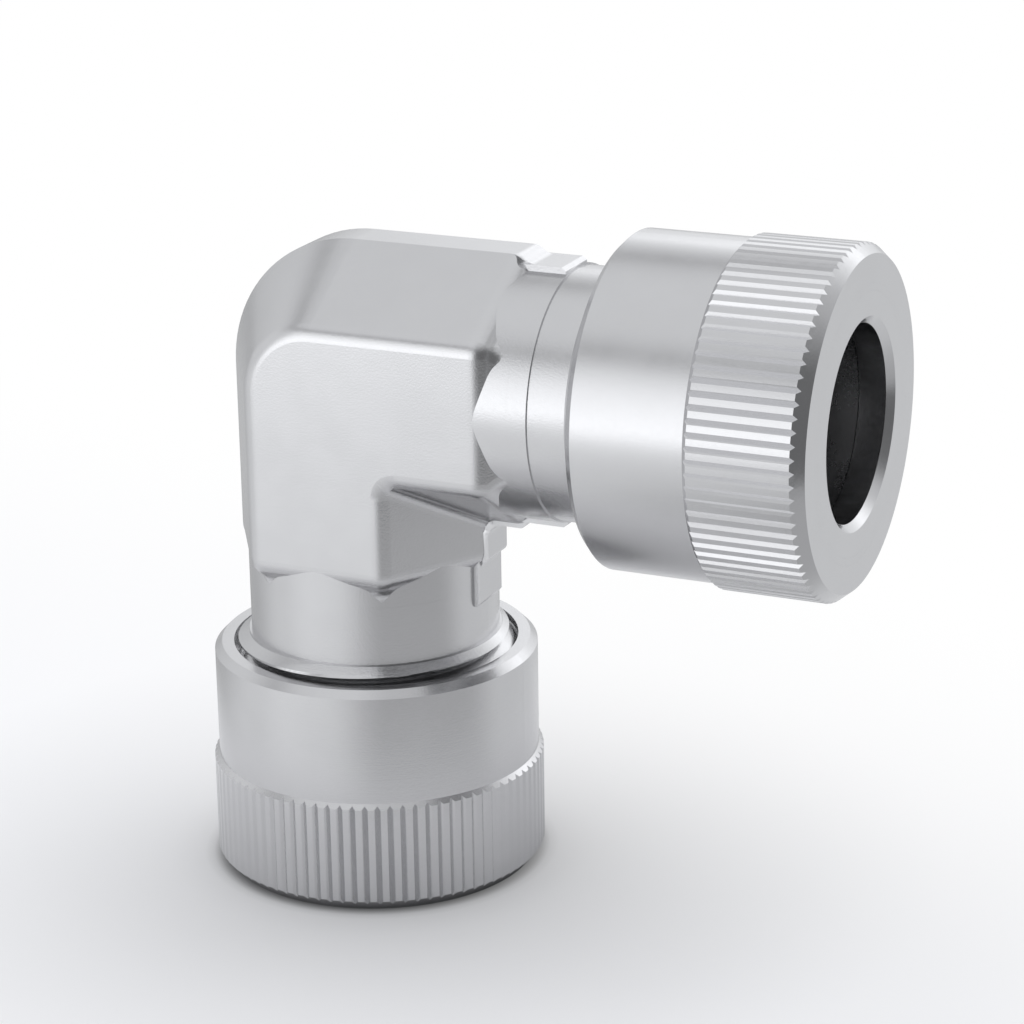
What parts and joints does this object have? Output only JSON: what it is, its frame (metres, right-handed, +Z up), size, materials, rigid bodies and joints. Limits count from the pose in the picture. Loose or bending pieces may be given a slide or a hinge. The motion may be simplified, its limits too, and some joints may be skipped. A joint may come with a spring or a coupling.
{
  "type": "union elbow",
  "caption": "Metal union elbow with a knurled nut on each arm, which squeezes a rubber seal round a plain tube pushed into the port.",
  "frame": {"origin": "centre of the lower nut's end face, on the axis of the lower arm, where the part stands", "axes": "+Z up along the lower arm towards the bend, +X out of the side arm, -Y towards the flat face of the block that faces the viewer"},
  "size_m": [0.0463, 0.023, 0.0463],
  "materials": {
    "body_steel": "satin forged and turned stainless steel",
    "nut_steel": "satin turned and knurled stainless steel",
    "ferrule_steel": "turned stainless steel",
    "seal_rubber": "smooth black rubber"
  },
  "bodies": {
    "elbow": {"elbow_body": "body_steel", "lower_o_ring": "seal_rubber", "side_o_ring": "seal_rubber"},
    "lower_follower": {"lower_ferrule": "ferrule_steel"},
    "lower_nut": {"lower_nut": "nut_steel"},
    "side_follower": {"side_ferrule": "ferrule_steel"},
    "side_nut": {"side_nut": "nut_steel"}
  },
  "joints": [
    {"name": "lower_travel", "type": "slide", "parent": "elbow", "child": "lower_follower", "axis": [0, 0, -1], "range_m": [0, 0.00635]},
    {"name": "lower_turn", "type": "hinge", "parent": "lower_follower", "child": "lower_nut", "pos_m": [0, 0, 0.008], "axis": [0, 0, -1], "range_deg": [0, 1800]},
    {"name": "side_travel", "type": "slide", "parent": "elbow", "child": "side_follower", "axis": [1, 0, 0], "range_m": [0, 0.00635]},
    {"name": "side_turn", "type": "hinge", "parent": "side_follower", "child": "side_nut", "pos_m": [0.0268, 0, 0.0348], "axis": [1, 0, 0], "range_deg": [0, 1800]}
  ],
  "couplings": [
    {"joint": "lower_travel", "follows": "lower_turn", "m_per_rad": 0.00020212},
    {"joint": "side_travel", "follows": "side_turn", "m_per_rad": 0.00020212}
  ]
}
